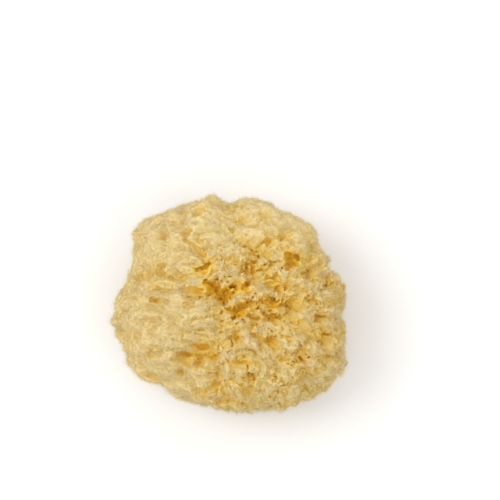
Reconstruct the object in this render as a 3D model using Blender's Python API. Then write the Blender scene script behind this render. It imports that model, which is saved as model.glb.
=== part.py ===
"""A natural bath sponge: one soft skeleton that grew on rock and was cut off flat there.

The sponge rests on its cut with its crown up. X runs across the crown and Y along it, with the origin at the
middle of the cut. The body starts as a rounded loaf over a plan outline, and grows lobes, tufts and combed ridges
outwards. Then the mouths of its water canals are sunk into it, and it is cut flat at the bottom.
Shape values are in millimetres, because a sponge is measured in them; the mesh is in metres.
"""

import math

import bmesh
import bpy
import numpy as np
from mathutils import Vector, noise

METRES_PER_MM = 0.001

# Driving dimensions of the finished sponge.
WIDTH = 128.0
DEPTH = 119.0
HEIGHT = 78.0

# The core is the point that all of the skeleton grows away from. The widest girth is level with it.
GIRTH_HEIGHT = 31.0
BELOW_GIRTH = 55.0
ABOVE_GIRTH = HEIGHT - GIRTH_HEIGHT
LOAF_POWER = 2.35

# The girth seen from above, anticlockwise from the right-hand side.
GIRTH = (
    (64, 4), (59, 16), (53.5, 21), (55, 24), (48, 35), (42, 43.5), (34, 48), (22, 54), (11, 59), (4, 57),
    (-2, 54), (-12, 59), (-28, 53), (-45, 48.5), (-54, 38), (-53, 26), (-54, 14), (-59, 3), (-62, -4),
    (-63.5, -10), (-62, -17), (-58, -25), (-47, -40), (-28, -48), (-12, -55), (2, -59), (14, -59), (30, -55), (51, -46),
    (61, -39), (64, -26), (63.5, -10),
)
STEPS_PER_GIRTH_POINT = 12
# Its notches and bumps fade out this far above and below the girth, over an outline smoothed by this many degrees.
GIRTH_FADE = 24.0
GIRTH_SMOOTHING = 40

# The body is worked out on a fine grid and then thinned to this many triangles, which keeps them at the edges.
GRID_CELLS = 84
BODY_TRIANGLES = 11000

# Each growth is (cell size, height). Lobes and tufts are domes with creases between them, longer across the sponge.
SWELL = (36.0, 2.6)
LOBES = (15.0, 6.5)
TUFTS = (7.0, 3.0)
LOBE_STRETCH = 1.35
CELL_MIDDLE = 0.32
WANDER = (14.0, 4.0)

# On the left the skeleton is combed into silky ridges that run across the sponge.
COMBED_EDGE = -8.0
COMBED_FADE = 22.0
COMB_LENGTH = 20.0
COMB_PITCH = 5.5
COMB_HEIGHT = 2.6

# Folds on the crown, between its ledges: (x, y, length, width, turn in degrees, depth).
CROWN_FOLDS = (
    (-4, 2, 24, 9, -30, 2.8),
    (16, 28, 28, 10, -45, 2.6),
    (-20, -29, 26, 8, 16, 2.4),
    (-34, 6, 30, 9, 2, 2.2),
    (-16, 27, 24, 8, -35, 2.2),
    (8, -28, 24, 8, -30, 2.0),
    (30, 2, 20, 10, 75, 2.0),
    (-36, -12, 26, 7, -8, 1.8),
    (34, -14, 22, 8, -15, 1.8),
)
# Canal mouths on the crown, listed like the folds.
CROWN_MOUTHS = (
    (-9, 6, 6, 4.5, 80, 5.5),
    (-3.5, 1, 8.5, 6.5, 35, 7.5),
    (5.5, 4, 9.5, 4.8, 5, 5.5),
    (4, -7, 7.5, 6.5, 60, 6),
    (12, -4, 8, 4.4, 10, 5),
    (-13.5, 13, 11, 6, 10, 2.5),
    (-20, 2.5, 12, 4, -5, 3.5),
    (10.5, 16, 7.5, 4.6, 10, 4.5),
    (15, 11.5, 6, 5.5, 0, 4.5),
    (13, 20.5, 9, 4, -30, 3),
    (-17.5, 25, 11, 4, -38, 3.5),
    (14, 30, 12, 5.5, -48, 3),
    (20, 24.5, 10, 5.5, -40, 3),
    (34, 21, 10.5, 7.5, 25, 7),
    (20.5, 15.5, 6.5, 4.4, 0, 3.5),
    (22, 8, 7.5, 4.4, -10, 3.5),
    (27, 5.5, 6, 5.5, 0, 5),
    (22, -2, 7.5, 6, -20, 5.5),
    (34, -3.5, 8, 6.5, 70, 5.5),
    (44, 18.5, 7, 5.5, 20, 3.5),
    (23, -10.5, 11, 4.4, -12, 4.5),
    (14, -11.5, 6.5, 4.2, 0, 3.5),
    (23, -24.5, 7.5, 5.5, 0, 5),
    (16.5, -23.5, 5, 4.8, 0, 3.5),
    (43, -20, 8, 6, 40, 3),
    (38, -30, 7, 5.5, -50, 5),
    (7, -33, 6, 5, 30, 5),
    (-27, -31, 9, 3.6, 20, 2.5),
    (-17, -27.5, 9, 3.6, 12, 2.5),
    (-10, -30.5, 6.5, 5.2, 0, 5.5),
    (3.5, -21.5, 9, 4, -5, 3.5),
    (-29, 12, 12, 3.8, 8, 2.5),
    (-38, 4.5, 12, 3.8, -3, 2.5),
    (-38, -5, 11, 4, -12, 2.5),
)
# The other canal mouths are scattered over the sides, none of them near the cut.
SIDE_MOUTHS = 120
SIDE_SPACING = 8.5
SIDE_STEEPNESS = 0.72
SIDE_LOWEST = -0.42
SIDE_LENGTH = (4.5, 9.5)
SIDE_SHAPE = (0.5, 1.0)
SIDE_DEPTH = (2.5, 5.5)
SIDE_SEED = 11

# A mouth's rim starts outside its stated size, and its wall is steep. Its outline is ragged.
RIM = 1.15
WALL = 0.8
RAGGED = (3.5, 0.28)
MOUTH_REACH = 24.0

SPONGE_COLOUR = (0.82, 0.64, 0.30, 1.0)
SPONGE_ROUGHNESS = 0.95


def clear_scene():
    for thing in list(bpy.data.objects):
        bpy.data.objects.remove(thing)


def unit(vectors):
    return vectors / np.linalg.norm(vectors, axis=-1, keepdims=True)


def girth_curve():
    """Angles and radii of a smooth closed curve through GIRTH."""
    points = np.array(GIRTH, float)
    before, after, beyond = (np.roll(points, shift, axis=0) for shift in (1, -1, -2))
    curve = []
    for t in np.arange(STEPS_PER_GIRTH_POINT) / STEPS_PER_GIRTH_POINT:
        curve.append(0.5 * (
            2 * points
            + (after - before) * t
            + (2 * before - 5 * points + 4 * after - beyond) * t**2
            + (3 * points - before - 3 * after + beyond) * t**3
        ))
    curve = np.concatenate(curve)
    turns = np.arctan2(curve[:, 1], curve[:, 0])
    order = np.argsort(turns)
    return turns[order], np.linalg.norm(curve, axis=1)[order]


def girth_radius(angles, level):
    """How far the outline lies from the core at these angles. Level is 1 at the girth and 0 far above or below it."""
    turns, radii = girth_curve()
    degrees = np.radians(np.arange(360))
    fine = np.interp(degrees, turns, radii, period=2 * math.pi)
    window = np.hanning(2 * GIRTH_SMOOTHING + 1)
    smooth = np.convolve(np.tile(fine, 3), window / window.sum(), "same")[360:720]
    smooth = np.interp(angles, degrees, smooth, period=2 * math.pi)
    return smooth + (np.interp(angles, degrees, fine, period=2 * math.pi) - smooth) * level


def loaf_radius(directions):
    """How far the plain loaf reaches from the core in these directions."""
    across = np.linalg.norm(directions[:, :2], axis=1)
    height = directions[:, 2] * ABOVE_GIRTH
    level = np.exp(-((height / GIRTH_FADE) ** 2))
    girth = girth_radius(np.arctan2(directions[:, 1], directions[:, 0]), level)
    tall = np.where(directions[:, 2] > 0, ABOVE_GIRTH, BELOW_GIRTH)
    reach = (across / girth) ** LOAF_POWER + (np.abs(directions[:, 2]) / tall) ** LOAF_POWER
    return reach ** (-1 / LOAF_POWER)


def crown_direction(x, y):
    """The direction from the core to the loaf's upper surface above a point of the plan."""
    share = math.hypot(x, y) / float(girth_radius(math.atan2(y, x), 0.5))
    rise = ABOVE_GIRTH * max(0.0, 1 - share**LOAF_POWER) ** (1 / LOAF_POWER)
    return Vector((x, y, rise)).normalized()


def dome(point, cell):
    """A growth that is round and high at the middle of each cell and low in the creases between cells."""
    place = Vector((point.x / LOBE_STRETCH, point.y, point.z)) / cell
    return CELL_MIDDLE - noise.voronoi(place)[0][0] ** 2


def growth(point):
    """How far the skeleton has grown past the plain loaf at a point of it."""
    wander_size, wander_reach = WANDER
    wandered = point + noise.noise_vector(point / wander_size) * wander_reach
    swell_size, swell_height = SWELL
    lobe_size, lobe_height = LOBES
    tuft_size, tuft_height = TUFTS
    combed = min(1.0, max(0.0, (COMBED_EDGE - point.x) / COMBED_FADE))
    strand = Vector((wandered.x / COMB_LENGTH, wandered.y / COMB_PITCH, wandered.z / COMB_PITCH))
    return (
        swell_height * noise.noise(point / swell_size)
        + lobe_height * dome(wandered, lobe_size)
        + tuft_height * dome(wandered, tuft_size) * (1 - 0.6 * combed)
        + COMB_HEIGHT * noise.noise(strand) * combed
    )


def side_mouths():
    """Canal mouths for the sides: (direction, length, width, turn, depth), spread out evenly."""
    chance = np.random.default_rng(SIDE_SEED)
    kept = []
    while len(kept) < SIDE_MOUTHS:
        direction = Vector(chance.normal(size=3)).normalized()
        length = chance.uniform(*SIDE_LENGTH)
        width = length * chance.uniform(*SIDE_SHAPE)
        turn = chance.uniform(0, 180)
        depth = chance.uniform(*SIDE_DEPTH)
        spot = direction * float(loaf_radius(np.array([direction]))[0])
        if not SIDE_LOWEST < direction.z < SIDE_STEEPNESS:
            continue
        if any((spot - other).length < SIDE_SPACING for other, *_ in kept):
            continue
        kept.append((spot, direction, length, width, turn, depth))
    return [mouth[1:] for mouth in kept]


def sink_mouth(surface, radii, directions, mouth):
    """Lowers the radii of the surface's points inside one canal mouth."""
    direction, length, width, turn, depth = mouth
    outward = np.array(direction)
    middle = outward * float(loaf_radius(np.array([direction]))[0])
    offset = surface - middle
    near = np.linalg.norm(offset, axis=1) < MOUTH_REACH
    level = np.cross((0.0, 1.0, 0.0), outward)
    level = unit(level)
    rising = np.cross(outward, level)
    turned = math.radians(turn)
    along = math.cos(turned) * level + math.sin(turned) * rising
    aside = np.cross(outward, along)
    share = np.hypot(offset[near] @ along / (length / 2), offset[near] @ aside / (width / 2))
    ragged_size, ragged_by = RAGGED
    raggedness = [noise.noise(Vector(p) / ragged_size) for p in surface[near]]
    sunk = np.clip((RIM - share * (1 + ragged_by * np.array(raggedness))) / WALL, 0, 1)
    radii[near] -= depth * sunk**2 * (3 - 2 * sunk)


def body_points(directions):
    """The finished surface's points for these directions, in millimetres from the core."""
    plain = loaf_radius(directions)
    surface = directions * plain[:, None]
    radii = plain + np.array([growth(Vector(p)) for p in surface])
    mouths = [(crown_direction(x, y), *size) for x, y, *size in CROWN_FOLDS + CROWN_MOUTHS]
    for mouth in mouths + side_mouths():
        sink_mouth(surface, radii, directions, mouth)
    return directions * radii[:, None]


def ball_grid():
    """A cube whose faces are grids, blown up into a ball of unit radius."""
    grid = bmesh.new()
    bmesh.ops.create_cube(grid, size=2.0)
    bmesh.ops.subdivide_edges(grid, edges=grid.edges[:], cuts=GRID_CELLS - 1, use_grid_fill=True)
    for corner in grid.verts:
        # The tangent spreads the cells evenly over the ball.
        spread = [math.tan(math.pi / 4 * value) for value in corner.co]
        corner.co = Vector(spread).normalized()
    return grid


def thinned(body):
    """A mesh like the body's, with fewer triangles where the surface is plain."""
    draft = bpy.data.objects.new("draft", body)
    bpy.context.scene.collection.objects.link(draft)
    thin = draft.modifiers.new("thin", "DECIMATE")
    thin.ratio = BODY_TRIANGLES / (2 * len(body.polygons))
    graph = bpy.context.evaluated_depsgraph_get()
    mesh = bpy.data.meshes.new_from_object(draft.evaluated_get(graph))
    bpy.data.objects.remove(draft)
    return mesh


def cut_flat(mesh):
    """Cuts the body off level with the rock, closes the cut and sizes the whole to the driving dimensions."""
    body = bmesh.new()
    body.from_mesh(mesh)
    cut = bmesh.ops.bisect_plane(
        body, geom=body.verts[:] + body.edges[:] + body.faces[:], dist=1e-4,
        plane_co=(0, 0, -GIRTH_HEIGHT), plane_no=(0, 0, -1), clear_outer=True,
    )
    rim = [part for part in cut["geom_cut"] if isinstance(part, bmesh.types.BMEdge)]
    bmesh.ops.edgeloop_fill(body, edges=rim)
    points = np.array([corner.co for corner in body.verts])
    lowest, highest = points.min(axis=0), points.max(axis=0)
    middle = np.array([*(lowest + highest)[:2] / 2, lowest[2]])
    scale = METRES_PER_MM * np.array((WIDTH, DEPTH, HEIGHT)) / (highest - lowest)
    for corner in body.verts:
        corner.co = Vector((np.array(corner.co) - middle) * scale)
    bmesh.ops.recalc_face_normals(body, faces=body.faces[:])
    bmesh.ops.triangulate(body, faces=body.faces[:])
    body.to_mesh(mesh)
    body.free()


def skeleton_material():
    material = bpy.data.materials.new("sponge_skeleton")
    material.use_nodes = True
    shader = material.node_tree.nodes["Principled BSDF"]
    shader.inputs["Base Color"].default_value = SPONGE_COLOUR
    shader.inputs["Roughness"].default_value = SPONGE_ROUGHNESS
    shader.inputs["Metallic"].default_value = 0.0
    return material


def make_sponge():
    grid = ball_grid()
    directions = unit(np.array([corner.co for corner in grid.verts]))
    for corner, place in zip(grid.verts, body_points(directions)):
        corner.co = Vector(place)
    body = bpy.data.meshes.new("body")
    grid.to_mesh(body)
    grid.free()
    mesh = thinned(body)
    mesh.name = "sponge"
    cut_flat(mesh)
    mesh.shade_smooth()
    mesh.set_sharp_from_angle(angle=math.radians(60))
    mesh.materials.append(skeleton_material())
    sponge = bpy.data.objects.new("sponge", mesh)
    bpy.context.scene.collection.objects.link(sponge)


clear_scene()
make_sponge()
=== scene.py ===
# %% [markdown]
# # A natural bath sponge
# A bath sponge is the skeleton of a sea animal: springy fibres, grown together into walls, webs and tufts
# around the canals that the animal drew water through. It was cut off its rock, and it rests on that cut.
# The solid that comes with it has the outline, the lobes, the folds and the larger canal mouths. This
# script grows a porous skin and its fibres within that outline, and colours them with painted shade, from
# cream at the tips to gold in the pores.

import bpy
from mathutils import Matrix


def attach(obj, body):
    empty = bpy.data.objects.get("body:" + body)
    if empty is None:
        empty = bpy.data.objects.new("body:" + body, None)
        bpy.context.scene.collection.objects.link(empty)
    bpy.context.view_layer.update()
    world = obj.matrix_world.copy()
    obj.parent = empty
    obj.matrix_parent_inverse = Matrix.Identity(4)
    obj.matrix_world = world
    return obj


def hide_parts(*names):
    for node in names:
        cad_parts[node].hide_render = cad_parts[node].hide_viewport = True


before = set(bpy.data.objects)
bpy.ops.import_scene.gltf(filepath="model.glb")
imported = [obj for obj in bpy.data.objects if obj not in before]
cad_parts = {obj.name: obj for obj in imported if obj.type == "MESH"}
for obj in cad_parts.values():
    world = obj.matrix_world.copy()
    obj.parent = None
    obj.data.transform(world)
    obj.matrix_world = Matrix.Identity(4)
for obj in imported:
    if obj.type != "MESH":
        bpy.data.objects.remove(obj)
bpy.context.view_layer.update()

# %% Libraries and units
import math

import bmesh
import bpy
import numpy as np
from mathutils import Vector

MM = 0.001

# %% [markdown]
# ## Sums with nodes
# The skin and the fibres are worked out by Geometry Nodes, as sums over every point of space. Such a sum
# takes dozens of Math nodes, and with tree.nodes.new and tree.links.new it would fill pages. So a small
# class stands for a node's output, and its plus, minus and times add the Math nodes. The sum can then be
# read as a formula. Positions are in metres, and the skin's sum turns them into millimetres first.


# %% A field: a node's output that can be added and multiplied
class Field:
    """A node's output, a number or vector that varies over space. Arithmetic on it adds Math nodes."""

    def __init__(self, tree, socket):
        self.tree = tree
        self.socket = socket

    def calc(self, operation, *others):
        is_vector = self.socket.type in ("VECTOR", "RGBA", "ROTATION")
        kind = "ShaderNodeVectorMath" if is_vector else "ShaderNodeMath"
        return node(self.tree, kind, [self, *others], operation=operation)

    def __add__(self, other):
        return self.calc("ADD", other)

    def __sub__(self, other):
        return self.calc("SUBTRACT", other)

    def __mul__(self, other):
        return self.calc("MULTIPLY", other)

    def __truediv__(self, other):
        return self.calc("DIVIDE", other)

    def __pow__(self, other):
        return self.calc("POWER", other)

    def at_least(self, other):
        return self.calc("MAXIMUM", other)

    def at_most(self, other):
        return self.calc("MINIMUM", other)

    def between(self, at_0, at_1):
        """Runs from one number, where this mask is 0, to another, where it is 1."""
        return self * (at_1 - at_0) + at_0

    def scaled(self, number):
        """This vector times a number that may vary over space."""
        return node(self.tree, "ShaderNodeVectorMath", {"Vector": self, "Scale": number}, operation="SCALE")


# %% Add one node
def node(tree, kind, inputs=(), out=0, **settings):
    """Adds a node, sets its inputs from a list or {socket: value}, and returns one output as a Field."""
    made = tree.nodes.new(kind)
    for name, value in settings.items():
        setattr(made, name, value)
    named = inputs.items() if isinstance(inputs, dict) else enumerate(inputs)
    for key, value in named:
        socket = made.inputs[key]
        if isinstance(value, Field):
            tree.links.new(value.socket, socket)
        elif socket.type == "VECTOR" and isinstance(value, (int, float)):
            socket.default_value = (value, value, value)
        else:
            socket.default_value = value
    return Field(tree, made.outputs[out])


# %% Masks, lengths and parts of vectors
def step_up(field, start, end):
    """0 before start and 1 after end, with a smooth rise between them."""
    inputs = {"Value": field, "From Min": start, "From Max": end}
    return node(field.tree, "ShaderNodeMapRange", inputs, interpolation_type="SMOOTHSTEP")


def part_of(field, axis):
    """One coordinate of a vector field."""
    return node(field.tree, "ShaderNodeSeparateXYZ", [field], out="XYZ".index(axis))


def vector_of(x, y, z):
    """A vector field from three coordinates, of which the first is a field."""
    return node(x.tree, "ShaderNodeCombineXYZ", [x, y, z])


def length_of(field):
    """The length of a vector field."""
    return node(field.tree, "ShaderNodeVectorMath", [field], out="Value", operation="LENGTH")


# %% Random patterns
def noise_in(place, size, out=0, detail=0.0):
    """A smooth random pattern with features of this size, from 0 to 1. Output 1 is a random vector."""
    inputs = {"Vector": place, "Scale": size**-1.0, "Detail": detail}
    return node(place.tree, "ShaderNodeTexNoise", inputs, out=out)


def nudge(place, size, amount):
    """A random push that changes over this size, up to about half this amount each way."""
    return (noise_in(place, size, out=1) - 0.5).scaled(amount)


def cells_in(place, size):
    """Space in random cells of this size: how far the cell's middle is, and three random numbers for it."""
    inputs = {"Vector": place, "Scale": size**-1.0}
    away = node(place.tree, "ShaderNodeTexVoronoi", inputs, feature="F1")
    return away * size, Field(place.tree, away.socket.node.outputs["Color"])


# %% [markdown]
# ## Trees that grow pieces
# Each tree is built once and has named inputs for its sizes, so it can be used again with other values. It
# is set on a copy of a mesh as a modifier, the result is taken as a plain mesh, and the modifier goes. A
# modifier's input is set by its identifier, not its name. The skin comes out with far more triangles than
# it needs where it is smooth, so a Decimate modifier thins it, which keeps them at the edges of the pores.


# %% Begin and end a tree
def new_tree(name, inputs):
    """A tree with a Geometry input and these others, {name: (kind, default)}. Returns it and its inputs."""
    tree = bpy.data.node_groups.new(name, "GeometryNodeTree")
    tree.interface.new_socket("Geometry", in_out="OUTPUT", socket_type="NodeSocketGeometry")
    tree.interface.new_socket("Geometry", in_out="INPUT", socket_type="NodeSocketGeometry")
    for label, (kind, default) in inputs.items():
        socket = tree.interface.new_socket(label, in_out="INPUT", socket_type="NodeSocket" + kind)
        if default is not None:
            socket.default_value = default
    entry = tree.nodes.new("NodeGroupInput")
    return tree, {socket.name: Field(tree, socket) for socket in entry.outputs if socket.name}


def end_tree(tree, shape, material):
    """Realizes the instances, sets the material and ends the tree."""
    real = node(tree, "GeometryNodeRealizeInstances", [shape])
    painted = node(tree, "GeometryNodeSetMaterial", {"Geometry": real, "Material": material})
    leave = tree.nodes.new("NodeGroupOutput")
    tree.links.new(painted.socket, leave.inputs[0])
    print(tree.name, "has", len(tree.nodes), "nodes")


# %% Run a modifier and keep its result
def triangles_in(mesh):
    """How many triangles the faces of a mesh make."""
    return sum(len(face.vertices) - 2 for face in mesh.polygons)


def keep_result(thing):
    """Replaces an object's mesh by what its modifiers make of it, and removes them."""
    graph = bpy.context.evaluated_depsgraph_get()
    mesh = bpy.data.meshes.new_from_object(thing.evaluated_get(graph))
    thing.modifiers.clear()
    thing.data = mesh
    mesh.name = thing.name


def grow(name, start, tree, settings, keep_triangles=None):
    """Runs a tree on a copy of a mesh and returns the result as a plain object of its own."""
    thing = bpy.data.objects.new(name, start.copy())
    bpy.context.scene.collection.objects.link(thing)
    modifier = thing.modifiers.new("grow", "NODES")
    modifier.node_group = tree
    for item in tree.interface.items_tree:
        if item.in_out == "INPUT" and item.name in settings:
            modifier[item.identifier] = settings[item.name]
    keep_result(thing)
    triangles = triangles_in(thing.data)
    if keep_triangles and triangles > keep_triangles:
        thing.modifiers.new("thin", "DECIMATE").ratio = keep_triangles / triangles
        keep_result(thing)
        print(name, "thinned from", triangles, "triangles")
    print(name, "has", triangles_in(thing.data), "triangles")
    return thing


# %% [markdown]
# ## Camera
# The photograph looks down on the crown from nearly overhead, a little from the front. The camera stands
# 0.6 m off with a longish lens, which keeps the sponge's sides from bulging.

# %% Make the camera
LENS = 80.0
TARGET = Vector((0.0105, 0.0294, 0.030))
ELEVATION = math.radians(82.0)
DISTANCE = 0.600
toward = Vector((0, math.cos(ELEVATION), -math.sin(ELEVATION)))
camera = bpy.data.objects.new("camera", bpy.data.cameras.new("camera"))
camera.data.lens = LENS
camera.location = TARGET - toward * DISTANCE
camera.rotation_euler = toward.to_track_quat("-Z", "Y").to_euler()
bpy.context.scene.collection.objects.link(camera)
bpy.context.scene.camera = camera
print("camera at", camera.location)

# %% [markdown]
# ## Floor and light
# The sponge lies on pale paper under soft light from all round, as in a packshot. Most of the light comes
# from the world, because hard light would make a fine skeleton look like rock. A wide lamp from the upper
# left gives the tufts their lit side, and a weaker one opens the shadows.

# %% Make the floor
FLOOR_HALF = 1.5
FLOOR_COLOUR = (0.83, 0.84, 0.87, 1)
floor_corners = [(x * FLOOR_HALF, y * FLOOR_HALF, 0) for x, y in ((-1, -1), (1, -1), (1, 1), (-1, 1))]
floor_mesh = bpy.data.meshes.new("floor")
floor_mesh.from_pydata(floor_corners, [], [(0, 1, 2, 3)])
floor = bpy.data.objects.new("floor", floor_mesh)
bpy.context.scene.collection.objects.link(floor)
paper = bpy.data.materials.new("floor_paper")
paper.use_nodes = True
paper_shader = paper.node_tree.nodes["Principled BSDF"]
paper_shader.inputs["Base Color"].default_value = FLOOR_COLOUR
paper_shader.inputs["Roughness"].default_value = 0.9
floor_mesh.materials.append(paper)
print("floor", 2 * FLOOR_HALF, "m wide")


# %% Make the lights
MIDDLE = Vector((0, 0, 30.0 * MM))


def soft_light(name, place, size, watts):
    """A round area light of this width that points at the sponge's middle."""
    lamp = bpy.data.lights.new(name, "AREA")
    lamp.shape = "DISK"
    lamp.size = size
    lamp.energy = watts
    light = bpy.data.objects.new(name, lamp)
    light.location = place
    light.rotation_euler = (MIDDLE - light.location).to_track_quat("-Z", "Y").to_euler()
    bpy.context.scene.collection.objects.link(light)


soft_light("key", (-0.60, 0.12, 0.9), 0.6, 4.2)
soft_light("fill", (0.6, -0.4, 0.9), 0.9, 1.6)
world = bpy.data.worlds.new("world")
world.use_nodes = True
background = world.node_tree.nodes["Background"]
background.inputs["Color"].default_value = (1.0, 0.97, 0.91, 1)
background.inputs["Strength"].default_value = 1.16
bpy.context.scene.world = world
bpy.context.scene.view_settings.view_transform = "Standard"
bpy.context.scene.view_settings.exposure = -0.15
print("light from", [light.name for light in bpy.data.lights], "and the world")

# %% [markdown]
# ## Colour
# The skeleton is one substance, and its colour carries painted shade: cream on the open tufts, gold in the
# pores and brownish yellow at the bottom of the canals, where less light gets in. A pattern on Object
# coordinates alone would colour tuft and pore alike, so the colour follows a value that each mesh carries:
# how much sky its points see. A fine mottle and wide patches keep it from being even, and the left side is a
# little yellower. Skin and fibres share this as one node group, each with its own three colours, because
# light that goes back and forth between thin fibres deepens their colour, and they need paler ones.


# %% Mix two colours
def blend(tree, factor, first, second):
    """Mixes two colours."""
    mix = tree.nodes.new("ShaderNodeMix")
    mix.data_type = "RGBA"
    for index, field in ((0, factor), (6, first), (7, second)):
        tree.links.new(field.socket, mix.inputs[index])
    return Field(tree, mix.outputs[2])


# %% The colour group
MOTTLE_SIZE = 1.1 * MM
MOTTLE = 0.35
PATCH_SIZE = 22.0 * MM
PATCHES = 0.3
YELLOWER_LEFT_OF = (8.0 * MM, 30.0 * MM)
YELLOWER = 0.08
DEEP_TO_GOLDEN = (0.02, 0.34)
GOLDEN_TO_CREAM = (0.33, 0.84)
shade_and_tone_colour = bpy.data.node_groups.new("shade_and_tone_colour", "ShaderNodeTree")
for label, kind in (("Openness", "Float"), ("Deep", "Color"), ("Golden", "Color"), ("Cream", "Color")):
    shade_and_tone_colour.interface.new_socket(label, in_out="INPUT", socket_type="NodeSocket" + kind)
shade_and_tone_colour.interface.new_socket("Color", in_out="OUTPUT", socket_type="NodeSocketColor")
entry = shade_and_tone_colour.nodes.new("NodeGroupInput")
given = {socket.name: Field(shade_and_tone_colour, socket) for socket in entry.outputs if socket.name}
spot = node(shade_and_tone_colour, "ShaderNodeTexCoord", out=3)
mottle = (noise_in(spot, MOTTLE_SIZE, detail=2.0) - 0.5) * MOTTLE
patches = (noise_in(spot, PATCH_SIZE, detail=1.0) - 0.5) * PATCHES
yellower = step_up(part_of(spot, "X") * -1.0, *YELLOWER_LEFT_OF) * YELLOWER
# Painted shade: the less sky, the lower the openness and the more golden the colour. The mottle, the patches
# and the yellower left are the sponge's own tone.
openness = given["Openness"] + mottle + patches - yellower
lower = blend(shade_and_tone_colour, step_up(openness, *DEEP_TO_GOLDEN), given["Deep"], given["Golden"])
upper = blend(shade_and_tone_colour, step_up(openness, *GOLDEN_TO_CREAM), lower, given["Cream"])
leave = shade_and_tone_colour.nodes.new("NodeGroupOutput")
shade_and_tone_colour.links.new(upper.socket, leave.inputs[0])
print(shade_and_tone_colour.name, "has", len(shade_and_tone_colour.nodes), "nodes")

# %% [markdown]
# ## Materials
# Dry sponge is matt and felted. Both materials are rough with hardly any gloss, and a very fine bump stands
# for the felt that is finer than the fibres. The skin's colour follows the sky alone. A fibre's colour also
# goes from its root to its tip, by a value that its mesh carries: painted shade, gold at the root where the
# fibres around shade it and cream at the tip.


# %% One recipe for both materials
FELT_SIZE = 0.5 * MM
FELT_HEIGHT = 0.1 * MM


def sponge_material(name, openness_of, colours):
    """A matt, felted material whose colour carries painted shade, from an openness of the material's own."""
    material = bpy.data.materials.new(name)
    material.use_nodes = True
    tree = material.node_tree
    shader = tree.nodes["Principled BSDF"]
    shader.inputs["Roughness"].default_value = 0.85
    shader.inputs["Specular IOR Level"].default_value = 0.2
    colour = tree.nodes.new("ShaderNodeGroup")
    colour.node_tree = shade_and_tone_colour
    for label, value in colours.items():
        colour.inputs[label].default_value = value
    tree.links.new(openness_of(tree).socket, colour.inputs["Openness"])
    tree.links.new(colour.outputs["Color"], shader.inputs["Base Color"])
    felt = noise_in(node(tree, "ShaderNodeTexCoord", out=3), FELT_SIZE, detail=3.0)
    raised = node(tree, "ShaderNodeBump", {"Strength": 0.3, "Distance": FELT_HEIGHT, "Height": felt})
    tree.links.new(raised.socket, shader.inputs["Normal"])
    print(name, "has", len(tree.nodes), "nodes")
    return material


# %% The skin's material and the fibres' material
SHADE = 0.12


def carried(tree, name):
    """A value that the mesh carries."""
    return node(tree, "ShaderNodeAttribute", out="Fac", attribute_name=name)


def skin_openness(tree):
    """Painted shade: as open as the sky it sees, less a shade."""
    return carried(tree, "sky") * 0.95 - SHADE


def fibre_openness(tree):
    """Painted shade: as open as the sky at its root, and more so towards its tip, less a shade."""
    return carried(tree, "sky") * 0.75 + carried(tree, "tip") * 0.5 - SHADE


skin_material = sponge_material("sponge_skin", skin_openness, {
    "Deep": (0.76, 0.47, 0.04, 1), "Golden": (0.74, 0.54, 0.14, 1), "Cream": (0.70, 0.565, 0.29, 1),
})
fibre_material = sponge_material("sponge_fibre", fibre_openness, {
    "Deep": (0.82, 0.55, 0.05, 1), "Golden": (0.88, 0.67, 0.22, 1), "Cream": (0.87, 0.76, 0.49, 1),
})

# %% [markdown]
# ## The solid as a mesh
# The solid's mesh is loose triangles. The skin is measured from it, and the sum needs to know inside from
# outside, so a copy with its corners merged is used.

# %% Merge a copy of the solid
solid = bmesh.new()
solid.from_mesh(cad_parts["sponge"].data)
bmesh.ops.remove_doubles(solid, verts=solid.verts, dist=0.001 * MM)
hull = bpy.data.meshes.new("hull")
solid.to_mesh(hull)
solid.free()
print("hull has", len(hull.vertices), "corners")

# %% [markdown]
# ## Where it is silky and where it is laced
# The skeleton isn't alike all over. On the left it is combed into silky ridges, at the back it is nearly as
# smooth, and elsewhere it has laced patches full of pores. Skin, sky and fibres all need these masks, so
# they are one function. It also gives the way outward from the core and a place on a thin shell round the
# core. A pattern that is read on the shell hardly changes with depth, so its cells become walls and tubes
# that run outward, as they grew.

# %% The core, the way outward and the masks
CORE = (0.0, 0.0, 31.0)
SHELL_RADIUS = 45.0
SHELL_GAIN = 0.2
COMBED_LEFT_OF = (8.0, 30.0)
SILKY_BEHIND = (14.0, 36.0)
SILK_BEHIND = 0.8
LACE_PATCH = 13.0
LACE_FROM = (0.36, 0.56)
LACE_IN_SILK = 0.15


def growth_places(here):
    """For a position in metres: the way outward, a place on the shell in mm, and three masks from 0 to 1."""
    place = here * (1 / MM)
    from_core = place - CORE
    outward = from_core.calc("NORMALIZE")
    shell = outward.scaled(length_of(from_core) * SHELL_GAIN + SHELL_RADIUS)
    combed = step_up(part_of(place, "X") * -1.0, *COMBED_LEFT_OF)
    silky = combed.at_least(step_up(part_of(place, "Y"), *SILKY_BEHIND) * SILK_BEHIND)
    laced = step_up(noise_in(shell, LACE_PATCH), *LACE_FROM) * silky.between(1.0, LACE_IN_SILK)
    return outward, shell, combed, silky, laced


# %% [markdown]
# ## Slots and basins
# Between its tufts the crown opens in slots and a few wider basins, and the tuft above each one hangs over
# it. A Boolean would cut them with clean edges, but these are ragged. So each is a line on the floor plan,
# from corner to corner in mm, and the sum takes the skeleton away within an uneven distance of it.

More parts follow.
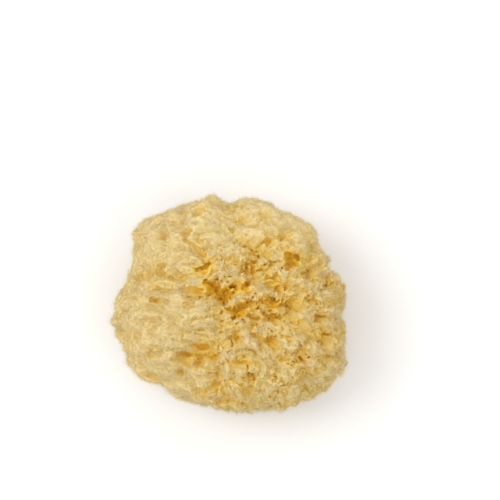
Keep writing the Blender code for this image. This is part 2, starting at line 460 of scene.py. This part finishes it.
# %% Lines of the basins and the slots on the plan
BASINS = [
    ((-12, 6), (-7, 5)), ((-6, 3), (-1, 1)), ((2, 4), (9, 4)), ((3, -7), (7, -6)), ((-16, 13), (-10, 15)),
    ((29, 21), (34, 20)), ((20, -2), (23, -3)),
]
LEFT_SLOTS = [
    ((-35, 10), (-29, 9)), ((-32, 12), (-26, 13)), ((-23, 3), (-15, 2)), ((-39, -1), (-31, -3)),
    ((-23, 29), (-12, 20)), ((-23, -23), (-11, -26)), ((-28, -27), (-8, -31)),
]
MIDDLE_SLOTS = [
    ((8, 24), (15, 19)), ((7, 16), (13, 16)), ((12, 12), (17, 12)), ((9, -4), (17, -3)),
    ((7, -10), (15, -12)), ((0, -21), (5, -22)), ((0, -33), (10, -34)),
]
RIGHT_SLOTS = [
    ((18, 15), (25, 17)), ((20, 9), (26, 8)), ((28, 6), (37, 2)), ((38, -1), (45, -4)),
    ((18, -10), (26, -11)), ((32, -3), (36, -6)),
]
SLOTS = LEFT_SLOTS + MIDDLE_SLOTS + RIGHT_SLOTS
print(len(BASINS), "basins and", len(SLOTS), "slots")


# %% The distance to the nearest line
def distance_to(lines, spot):
    """How far a place on the plan is from the nearest of these lines, in mm."""
    tree = spot.tree
    join = tree.nodes.new("GeometryNodeJoinGeometry")
    for start, end in lines:
        ends = {"Start": (start[0] * MM, start[1] * MM, 0), "End": (end[0] * MM, end[1] * MM, 0)}
        line = node(tree, "GeometryNodeCurvePrimitiveLine", ends)
        tree.links.new(line.socket, join.inputs[0])
    edges = node(tree, "GeometryNodeCurveToMesh", [Field(tree, join.outputs[0])])
    inputs = {"Geometry": edges, "Sample Position": spot}
    return node(tree, "GeometryNodeProximity", inputs, out=1, target_element="EDGES") * (1 / MM)


# %% [markdown]
# ## The skin
# The real skin is a foam of walls, tubes and webs with thousands of openings. Displacing the solid's
# surface would give dents but no overhangs and no webs. So the skin is a sum over a block of space, which
# is above zero inside the skeleton and below zero outside. Volume Cube works it out at every voxel and
# Volume to Mesh wraps the zero level. First come the places where patterns are read. They wander, so that
# cells aren't round, and the combed side is squeezed along X, so that its cells come out long.

# %% Skin tree: inputs
skin, given = new_tree("porous_skin", {
    "Voxel": ("Float", 0.6 * MM),
    "Lowest": ("Float", 0.0),
    "Highest": ("Float", 1.0),
    "Tuft Size": ("Float", 4.4),
    "Tuft Height": ("Float", 2.1),
    "Pore Size": ("Float", 2.4),
    "Canal Size": ("Float", 7.0),
    "Canal Width": ("Float", 1.8),
    "Slot Depth": ("Float", 2.0),
    "Basin Depth": ("Float", 3.0),
    "Gap Size": ("Float", 6.0),
    "Gap Width": ("Float", 1.0),
    "Crumb Size": ("Float", 0.9),
    "Material": ("Material", None),
})

# %% Skin tree: places
CELLS_LONGER = 2.5
SLOW_WANDER = {"size": 9.0, "amount": 6.0}
QUICK_WANDER = {"size": 3.0, "amount": 1.6}
here = node(skin, "GeometryNodeInputPosition")
place = here * (1 / MM)
outward, shell, combed, silky, laced = growth_places(here)
combed_shell = shell * vector_of(combed.between(1.0, CELLS_LONGER) ** -1.0, 1.0, 1.0)
wandered = combed_shell + nudge(combed_shell, **SLOW_WANDER) + nudge(combed_shell, **QUICK_WANDER)

# %% [markdown]
# The depth is how far a place lies under the solid's surface. A ray outward tells inside from outside, and
# Geometry Proximity gives the distance. It is read at a ragged place, nudged a few millimetres this way and
# that, which frays every edge of the skin.

# %% Skin tree: depth under the surface
SWIRL_SIZE = 3.4
SWIRL = (3.6 * MM, 1.4 * MM)
FRAY_SIZE = 1.5
FRAY = (1.6 * MM, 0.9 * MM)
PAST_THE_SOLID = 1.0
ragged = here + nudge(combed_shell, SWIRL_SIZE, silky.between(*SWIRL))
ragged = ragged + nudge(combed_shell, FRAY_SIZE, silky.between(*FRAY))
hit = node(skin, "GeometryNodeRaycast", {
    "Target Geometry": given["Geometry"], "Source Position": ragged, "Ray Direction": outward,
    "Ray Length": PAST_THE_SOLID,
})
near = node(skin, "GeometryNodeProximity", {
    "Geometry": given["Geometry"], "Sample Position": ragged,
}, out=1, target_element="FACES")
depth = near * (hit * 2.0 - 1.0) * (1 / MM)

# %% [markdown]
# The tufts are the middles of random cells, and the skin lies a little deeper between them. Everywhere it
# lies deep enough to leave room for the fibres. The combed side has streaks along X as well.

# %% Skin tree: tufts and streaks
CUT_EDGE = (0.0, 3.0)
FIBRE_ROOM = 0.5
LOWER_IN_SILK = 1.7
LOWER_IN_LACE = 0.5
NUB_SIZE = 1.4
ALONG_X = (0.16, 1.0, 1.0)
STREAK_SIZE = 1.5
STREAK_HEIGHT = 1.4
above_cut = step_up(part_of(place, "Z"), *CUT_EDGE)
tuft, _ = cells_in(wandered, given["Tuft Size"])
tuft_height = given["Tuft Height"] - silky * LOWER_IN_SILK - laced * LOWER_IN_LACE
tufts = tuft / given["Tuft Size"] * tuft_height
nubs = noise_in(wandered, NUB_SIZE) * silky.between(1.0, 0.5)
inset = (tufts + nubs + FIBRE_ROOM) * above_cut
streaked = shell * ALONG_X + nudge(shell, 5.0, 2.4)
surface_depth = inset + (noise_in(streaked, STREAK_SIZE) - 0.4) * combed * STREAK_HEIGHT
porous = depth - surface_depth

# %% [markdown]
# Every opening is taken away in the same way: the skeleton goes where it is both above the opening's floor
# and within its width. Pores and canals are the middles of cells too, each with a chance of its own for its
# width, and canals are few and wide. Their floors are measured from the tufts, so that they don't break
# through.


# %% Skin tree: how to take an opening away
def opened(body, floor, across, width):
    """The body with an opening: down to this floor, and this wide on each side of its middle."""
    return body.at_most((depth - floor).at_least(across - width))


# %% Skin tree: pores and canals
PORE_DEPTHS = (0.8, 1.9)
PORE_WIDTHS = (0.5, 1.2)
CANAL_CHANCE = (0.35, 0.95)
CANAL_DEPTH = 1.6
pore, pore_chances = cells_in(wandered, given["Pore Size"])
pore_chance = part_of(pore_chances, "X")
pore_floor = inset + laced * pore_chance.between(*PORE_DEPTHS)
porous = opened(porous, pore_floor, pore, pore_chance.between(*PORE_WIDTHS))
canal, canal_chances = cells_in(wandered, given["Canal Size"])
canal_share = step_up(part_of(canal_chances, "Y"), *CANAL_CHANCE)
canal_width = canal_share * given["Canal Width"] * laced.between(0.6, 1.0) * silky.between(1.0, 0.15)
porous = opened(porous, inset + canal_width * CANAL_DEPTH, canal, canal_width)

# %% [markdown]
# The slots lean under the tuft behind them: the deeper a place is, the further forward its spot on the plan
# is read. Short winding gaps fill in between. A noise pattern crosses its middle value along winding
# sheets, and a gap is where it is close to that value.

# %% Skin tree: slots and basins
LEAN_UNDER = 0.45
CROWN_FROM = (38.0, 50.0)
SLOT_WIDTHS = (0.4, 1.8)
BASIN_WIDTHS = (0.3, 2.9)
on_crown = step_up(part_of(place, "Z"), *CROWN_FROM)
under_lip = part_of(ragged, "Y") - depth * (LEAN_UNDER * MM)
on_plan = vector_of(part_of(ragged, "X"), under_lip, 0.0)
slot_width = noise_in(place, 2.5).between(*SLOT_WIDTHS) * on_crown
slot_floor = surface_depth + given["Slot Depth"] - silky * 1.2
porous = opened(porous, slot_floor, distance_to(SLOTS, on_plan), slot_width)
basin_width = noise_in(place, 3.0).between(*BASIN_WIDTHS) * on_crown
porous = opened(porous, surface_depth + given["Basin Depth"], distance_to(BASINS, on_plan), basin_width)

# %% Skin tree: gaps
GAP_PATCH = 7.0
GAPPED_FROM = (0.50, 0.58)
GAP_DEPTH = 1.5
gap_noise = noise_in(wandered * (0.6, 1.0, 1.0), given["Gap Size"])
gap = (gap_noise - 0.5).calc("ABSOLUTE") * given["Gap Size"] * 2.0
gapped = step_up(noise_in(shell, GAP_PATCH), *GAPPED_FROM) * silky.between(1.0, 0.4) * above_cut
gap_width = gapped * given["Gap Width"]
porous = opened(porous, surface_depth + gap_width * GAP_DEPTH, gap, gap_width)

# %% [markdown]
# A fine crumb roughens what is left, but it may not stand out of the ragged outline or go under the cut.
# The block of voxels is limited to the heights that a piece needs. Loose islands of foam would hang in the
# air, so they are deleted.

# %% Skin tree: crumb and limits
ABOVE_FLOOR = 0.05
crumb = (noise_in(place, given["Crumb Size"]) - 0.5) * (silky * -0.3 + laced * 0.7 + 0.8)
solid_here = (porous + crumb).at_most(depth).at_most(part_of(place, "Z") - ABOVE_FLOOR)

# %% Skin tree: the block of voxels
MARGIN = 1.6 * MM
low_corner = node(skin, "GeometryNodeBoundBox", [given["Geometry"]], out=1) - MARGIN
high_corner = node(skin, "GeometryNodeBoundBox", [given["Geometry"]], out=2) + MARGIN
bottom = part_of(low_corner, "Z").at_least(given["Lowest"])
top = part_of(high_corner, "Z").at_most(given["Highest"])
low_corner = vector_of(part_of(low_corner, "X"), part_of(low_corner, "Y"), bottom)
high_corner = vector_of(part_of(high_corner, "X"), part_of(high_corner, "Y"), top)
steps = (high_corner - low_corner).scaled(given["Voxel"] ** -1.0)
count = [node(skin, "FunctionNodeFloatToInt", [part_of(steps, axis)]) for axis in "XYZ"]
cube = node(skin, "GeometryNodeVolumeCube", {
    "Density": (solid_here + 1.0).at_least(0.0).at_most(2.0), "Min": low_corner, "Max": high_corner,
    "Resolution X": count[0], "Resolution Y": count[1], "Resolution Z": count[2],
})

# %% Skin tree: from the voxels to a mesh
LEAST_ISLAND = 4000.0
surface = node(skin, "GeometryNodeVolumeToMesh", {"Volume": cube, "Threshold": 1.0})
island = node(skin, "GeometryNodeInputMeshIsland")
size = node(skin, "GeometryNodeAccumulateField", {"Value": 1.0, "Group ID": island}, out=2, domain="POINT")
loose = node(skin, "FunctionNodeCompare", [size, LEAST_ISLAND], operation="LESS_THAN")
whole = node(skin, "GeometryNodeDeleteGeometry", {"Geometry": surface, "Selection": loose})
end_tree(skin, node(skin, "GeometryNodeSetShadeSmooth", {"Geometry": whole}), given["Material"])

# %% [markdown]
# The crown is what people look at, so it has the finest voxels. The flanks go down to the cut with coarser
# ones. The two overlap by a millimetre just under the girth, where the seam is lost among the fibres.

# %% The two pieces of skin
CROWN_DOWN_TO = 29.0 * MM
FLANKS_UP_TO = 30.2 * MM
crown = grow("sponge_crown", hull, skin, {
    "Voxel": 0.5 * MM, "Lowest": CROWN_DOWN_TO, "Material": skin_material,
}, keep_triangles=195000)
flanks = grow("sponge_flanks", hull, skin, {
    "Voxel": 0.7 * MM, "Highest": FLANKS_UP_TO, "Material": skin_material,
}, keep_triangles=110000)

# %% [markdown]
# ## Sky
# The colours and the fibres both need to know how open each point of the skin is. Cycles could work out
# ambient occlusion while it renders, but the exported meshes would lose it. So it is measured once and kept
# on the mesh: from each point a fan of rays goes out over the half of space that the point faces, and the
# share that gets away is the sky it sees. The colours paint shade from it. The silky parts are evened out a
# little, and near the basins on the crown the sky is lowered, so they come out more golden.

# %% Sky tree: the share of rays that get away
RAYS = 10
GOLDEN_ANGLE = math.pi * (3 - math.sqrt(5))
ANY_AXIS = (0.37, 0.61, 0.7)
START_OFF = 0.1 * MM
LEAST_RISE = 0.15
measure, given = new_tree("open_sky", {"Reach": ("Float", 12.0 * MM), "Material": ("Material", None)})
here = node(measure, "GeometryNodeInputPosition")
facing = node(measure, "GeometryNodeInputNormal")
tangent = facing.calc("CROSS_PRODUCT", ANY_AXIS).calc("NORMALIZE")
across = facing.calc("CROSS_PRODUCT", tangent)
blocked_share = None
for ray in range(RAYS):
    rise = 1 - (ray + 0.5) / RAYS
    aside = math.sqrt(1 - rise**2)
    turn = ray * GOLDEN_ANGLE
    sideways = tangent * (aside * math.cos(turn)) + across * (aside * math.sin(turn))
    blocked = node(measure, "GeometryNodeRaycast", {
        "Target Geometry": given["Geometry"], "Source Position": here + facing * START_OFF,
        "Ray Direction": facing * (rise + LEAST_RISE) + sideways, "Ray Length": given["Reach"],
    })
    blocked_share = blocked / RAYS if blocked_share is None else blocked_share + blocked / RAYS
open_sky = blocked_share * -1.0 + 1.0

# %% Sky tree: evening out, and less sky by the basins
BASIN_GOLD_REACH = (1.5, 4.5)
BASIN_GOLD_ABOVE = (40.0 * MM, 50.0 * MM)
SKY_BY_BASINS = 0.55
EVENING = 0.3
outward, shell, combed, silky, laced = growth_places(here)
evening = silky * EVENING
lit = open_sky * (evening * -1.0 + 1.0) + step_up(open_sky, 0.0, 0.7) * evening
plan = vector_of(part_of(here, "X"), part_of(here, "Y"), 0.0)
# Near the basins on the crown the sky is lowered, so they come out more golden.
by_basin = step_up(distance_to(BASINS, plan), *BASIN_GOLD_REACH) * -1.0 + 1.0
by_basin_on_crown = by_basin * step_up(part_of(here, "Z"), *BASIN_GOLD_ABOVE)
toned = lit * by_basin_on_crown.between(1.0, SKY_BY_BASINS)
softened = node(measure, "GeometryNodeBlurAttribute", {"Value": toned, "Iterations": 2})
stored = node(measure, "GeometryNodeStoreNamedAttribute", {
    "Geometry": given["Geometry"], "Name": "sky", "Value": softened,
}, domain="POINT")
end_tree(measure, stored, given["Material"])

# %% [markdown]
# Crown and flanks shade each other, so the sky is measured on both joined together, and the values are then
# copied back to each piece in the same order.

# %% Measure the sky and ride the pieces
both = bmesh.new()
both.from_mesh(crown.data)
both.from_mesh(flanks.data)
joined = bpy.data.meshes.new("whole_skin")
both.to_mesh(joined)
both.free()
whole_skin = grow("whole_skin", joined, measure, {"Material": skin_material})
sky = np.zeros(len(whole_skin.data.vertices), np.float32)
whole_skin.data.attributes["sky"].data.foreach_get("value", sky)
corners = len(crown.data.vertices)
for piece, its_sky in ((crown, sky[:corners]), (flanks, sky[corners:])):
    piece.data.attributes.new("sky", "FLOAT", "POINT").data.foreach_set("value", its_sky)
    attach(piece, "root")
    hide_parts("sponge")
skin_mesh = whole_skin.data
bpy.data.objects.remove(whole_skin)
print("sky from", sky.min(), "to", sky.max(), "mean", sky.mean())

# %% [markdown]
# ## Fibres
# What makes a sponge soft to look at is its fringe: fine fibres that lie along the combed ridges, stand in
# wisps on the tufts and cross the pores as single strands. Hair curves would be the usual way, but the
# export drops them, so each fibre is a thin three-sided cone in a joined mesh. One tree grows every kind,
# because they differ only in length, direction and place. First come the places. A share for each mask says
# how much a kind likes the combed side, the silky parts and the lace: 1 is only there, 0 is only elsewhere
# and 0.5 is both alike.

# %% Fibre tree: inputs
fibres, given = new_tree("fibres", {
    "Density": ("Float", 500000.0),
    "Shortest": ("Float", 1.0 * MM),
    "Longest": ("Float", 2.0 * MM),
    "Thickness": ("Float", 0.2 * MM),
    "Lift": ("Float", 1.0),
    "Spread": ("Float", 0.6),
    "Lean": ("Float", 0.8),
    "Combing": ("Float", 0.0),
    "Clumping": ("Float", 0.6),
    "Clump Size": ("Float", 3.2 * MM),
    "Curl": ("Float", 0.8 * MM),
    "Arch": ("Float", 0.0),
    "Joints": ("Int", 1),
    "Left Share": ("Float", 0.5),
    "Silky Share": ("Float", 0.5),
    "Lace Share": ("Float", 0.5),
    "Least Sky": ("Float", 0.3),
    "Seed": ("Int", 1),
    "Material": ("Material", None),
})

# %% Fibre tree: where the roots are
OPEN_SKY = 0.8
OFF_CUT = (1.0 * MM, 2.5 * MM)
here = node(fibres, "GeometryNodeInputPosition")
outward, shell, combed, silky, laced = growth_places(here)
liking = 1.0
for mask, name in ((combed, "Left Share"), (silky, "Silky Share"), (laced, "Lace Share")):
    share = given[name]
    liking = (mask * share + (mask * -1.0 + 1.0) * (share * -1.0 + 1.0)) * liking * 2.0
sky_here = node(fibres, "GeometryNodeInputNamedAttribute", {"Name": "sky"}, data_type="FLOAT")
open_enough = step_up(sky_here, given["Least Sky"], OPEN_SKY)
off_cut = step_up(part_of(here, "Z"), *OFF_CUT)
density = given["Density"] * liking * open_enough * off_cut
roots = node(fibres, "GeometryNodeDistributePointsOnFaces", {
    "Mesh": given["Geometry"], "Density": density, "Seed": given["Seed"],
})
normal = Field(fibres, roots.socket.node.outputs["Normal"])

# %% [markdown]
# A fibre points partly off the skin, partly outward from the core and partly its own way. A slow breeze
# makes neighbours lean together, and combing lays them along X, to either side.

# %% Fibre tree: which way they point
BREEZE_SIZE = 6.25 * MM
BREEZE = 5.0
COMB = 3.0
OUTWARD_LIFT = 0.6
own_way = node(fibres, "FunctionNodeRandomValue", {
    0: (-1.0, -1.0, -1.0), 1: (1.0, 1.0, 1.0), "Seed": given["Seed"],
}, data_type="FLOAT_VECTOR")
side = node(fibres, "FunctionNodeRandomValue", {2: -1.0, 3: 1.0, "Seed": 7}, out=1, data_type="FLOAT")
laid = vector_of(side * given["Combing"] * COMB, 0.0, 0.0)
breeze = (noise_in(here, BREEZE_SIZE, out=1, detail=1.0) - 0.5).scaled(given["Lean"] * BREEZE)
lifted = normal * given["Lift"] + outward * (given["Lift"] * OUTWARD_LIFT)
direction = lifted + own_way * given["Spread"] + laid + breeze
turned = node(fibres, "FunctionNodeAlignRotationToVector", {"Vector": direction}, axis="Z")

# %% Fibre tree: one straw on every root
length = node(fibres, "FunctionNodeRandomValue", {
    2: given["Shortest"], 3: given["Longest"], "Seed": 3,
}, out=1, data_type="FLOAT")
straw = node(fibres, "GeometryNodeMeshCone", {
    "Vertices": 3, "Side Segments": given["Joints"], "Radius Top": 0.0, "Radius Bottom": 0.5, "Depth": 1.0,
})
straw = node(fibres, "GeometryNodeStoreNamedAttribute", {
    "Geometry": straw, "Name": "tip", "Value": part_of(here, "Z"),
}, domain="POINT")
straw_size = vector_of(given["Thickness"], given["Thickness"], length)
placed = node(fibres, "GeometryNodeInstanceOnPoints", {
    "Points": roots, "Instance": straw, "Rotation": turned, "Scale": straw_size,
})
straws = node(fibres, "GeometryNodeRealizeInstances", [placed])

# %% [markdown]
# The realized straws are bent, the more the nearer to the tip. Tips are drawn towards the middle of their
# clump, which makes wisps, and blown about by a fine gust. Strands that cross a pore arch over it. Nothing
# goes below the floor.

# %% Fibre tree: bend them
GUST_SIZE = 1.43 * MM
ARCH_FALL = 1.4
LOWEST_TIP = 0.1 * MM
tip = node(fibres, "GeometryNodeInputNamedAttribute", {"Name": "tip"}, data_type="FLOAT")
bend = tip * tip
clump_cells = {"Vector": here, "Scale": given["Clump Size"] ** -1.0}
toward_clump = node(fibres, "ShaderNodeTexVoronoi", clump_cells, out=2, feature="F1") - here
both_vectors = [toward_clump, outward]
outward_part = node(fibres, "ShaderNodeVectorMath", both_vectors, out="Value", operation="DOT_PRODUCT")
less_along = vector_of(given["Combing"] * -1.0 + 1.0, 1.0, 1.0)
pull = (toward_clump - outward.scaled(outward_part)) * less_along
gust = (noise_in(here, GUST_SIZE, out=1, detail=1.0) - 0.5) * 2.0
arch = (tip - bend * ARCH_FALL) * given["Arch"] * 4.0
moved = here + pull * (bend * given["Clumping"]) + gust * (bend * given["Curl"] * 2.0) + outward * arch
off_floor = vector_of(part_of(moved, "X"), part_of(moved, "Y"), part_of(moved, "Z").at_least(LOWEST_TIP))
bent = node(fibres, "GeometryNodeSetPosition", {"Geometry": straws, "Position": off_floor})
end_tree(fibres, node(fibres, "GeometryNodeSetShadeSmooth", {"Geometry": bent}), given["Material"])

# %% [markdown]
# The four kinds are: long combed fibres on the silky side, wisps on the tufts, short down that takes the
# hardness out of every edge, and strands that cross the lace. Each is a piece of its own, so none gets too
# heavy.

# %% The four kinds of fibre
KINDS = {
    "combed_fibres": {
        "Density": 1200000.0, "Shortest": 1.4 * MM, "Longest": 3.6 * MM, "Thickness": 0.13 * MM,
        "Lift": 0.2, "Spread": 0.25, "Lean": 0.2, "Combing": 0.7, "Clumping": 0.3,
        "Left Share": 1.0, "Lace Share": 0.4, "Least Sky": 0.2, "Seed": 2,
    },
    "tuft_fibres": {
        "Density": 1150000.0, "Shortest": 1.2 * MM, "Longest": 3.0 * MM, "Thickness": 0.17 * MM,
        "Lift": 0.7, "Spread": 0.4, "Lean": 0.9, "Clumping": 0.7, "Clump Size": 2.6 * MM,
        "Silky Share": 0.2, "Lace Share": 0.3, "Least Sky": 0.3, "Seed": 3,
    },
    "down": {
        "Density": 1050000.0, "Shortest": 0.4 * MM, "Longest": 0.9 * MM, "Thickness": 0.18 * MM,
        "Lift": 0.4, "Spread": 0.8, "Lean": 0.6, "Clumping": 0.0,
        "Silky Share": 0.35, "Least Sky": 0.25, "Seed": 4,
    },
    "web_strands": {
        "Density": 400000.0, "Shortest": 2.0 * MM, "Longest": 4.2 * MM, "Thickness": 0.22 * MM,
        "Lift": 0.15, "Spread": 1.0, "Lean": 0.0, "Clumping": 0.2, "Curl": 0.6 * MM, "Arch": 0.5 * MM,
        "Joints": 2, "Silky Share": 0.1, "Lace Share": 0.8, "Least Sky": 0.5, "Seed": 5,
    },
}
for name, settings in KINDS.items():
    piece = grow(name, skin_mesh, fibres, {**settings, "Material": fibre_material})
    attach(piece, "root")
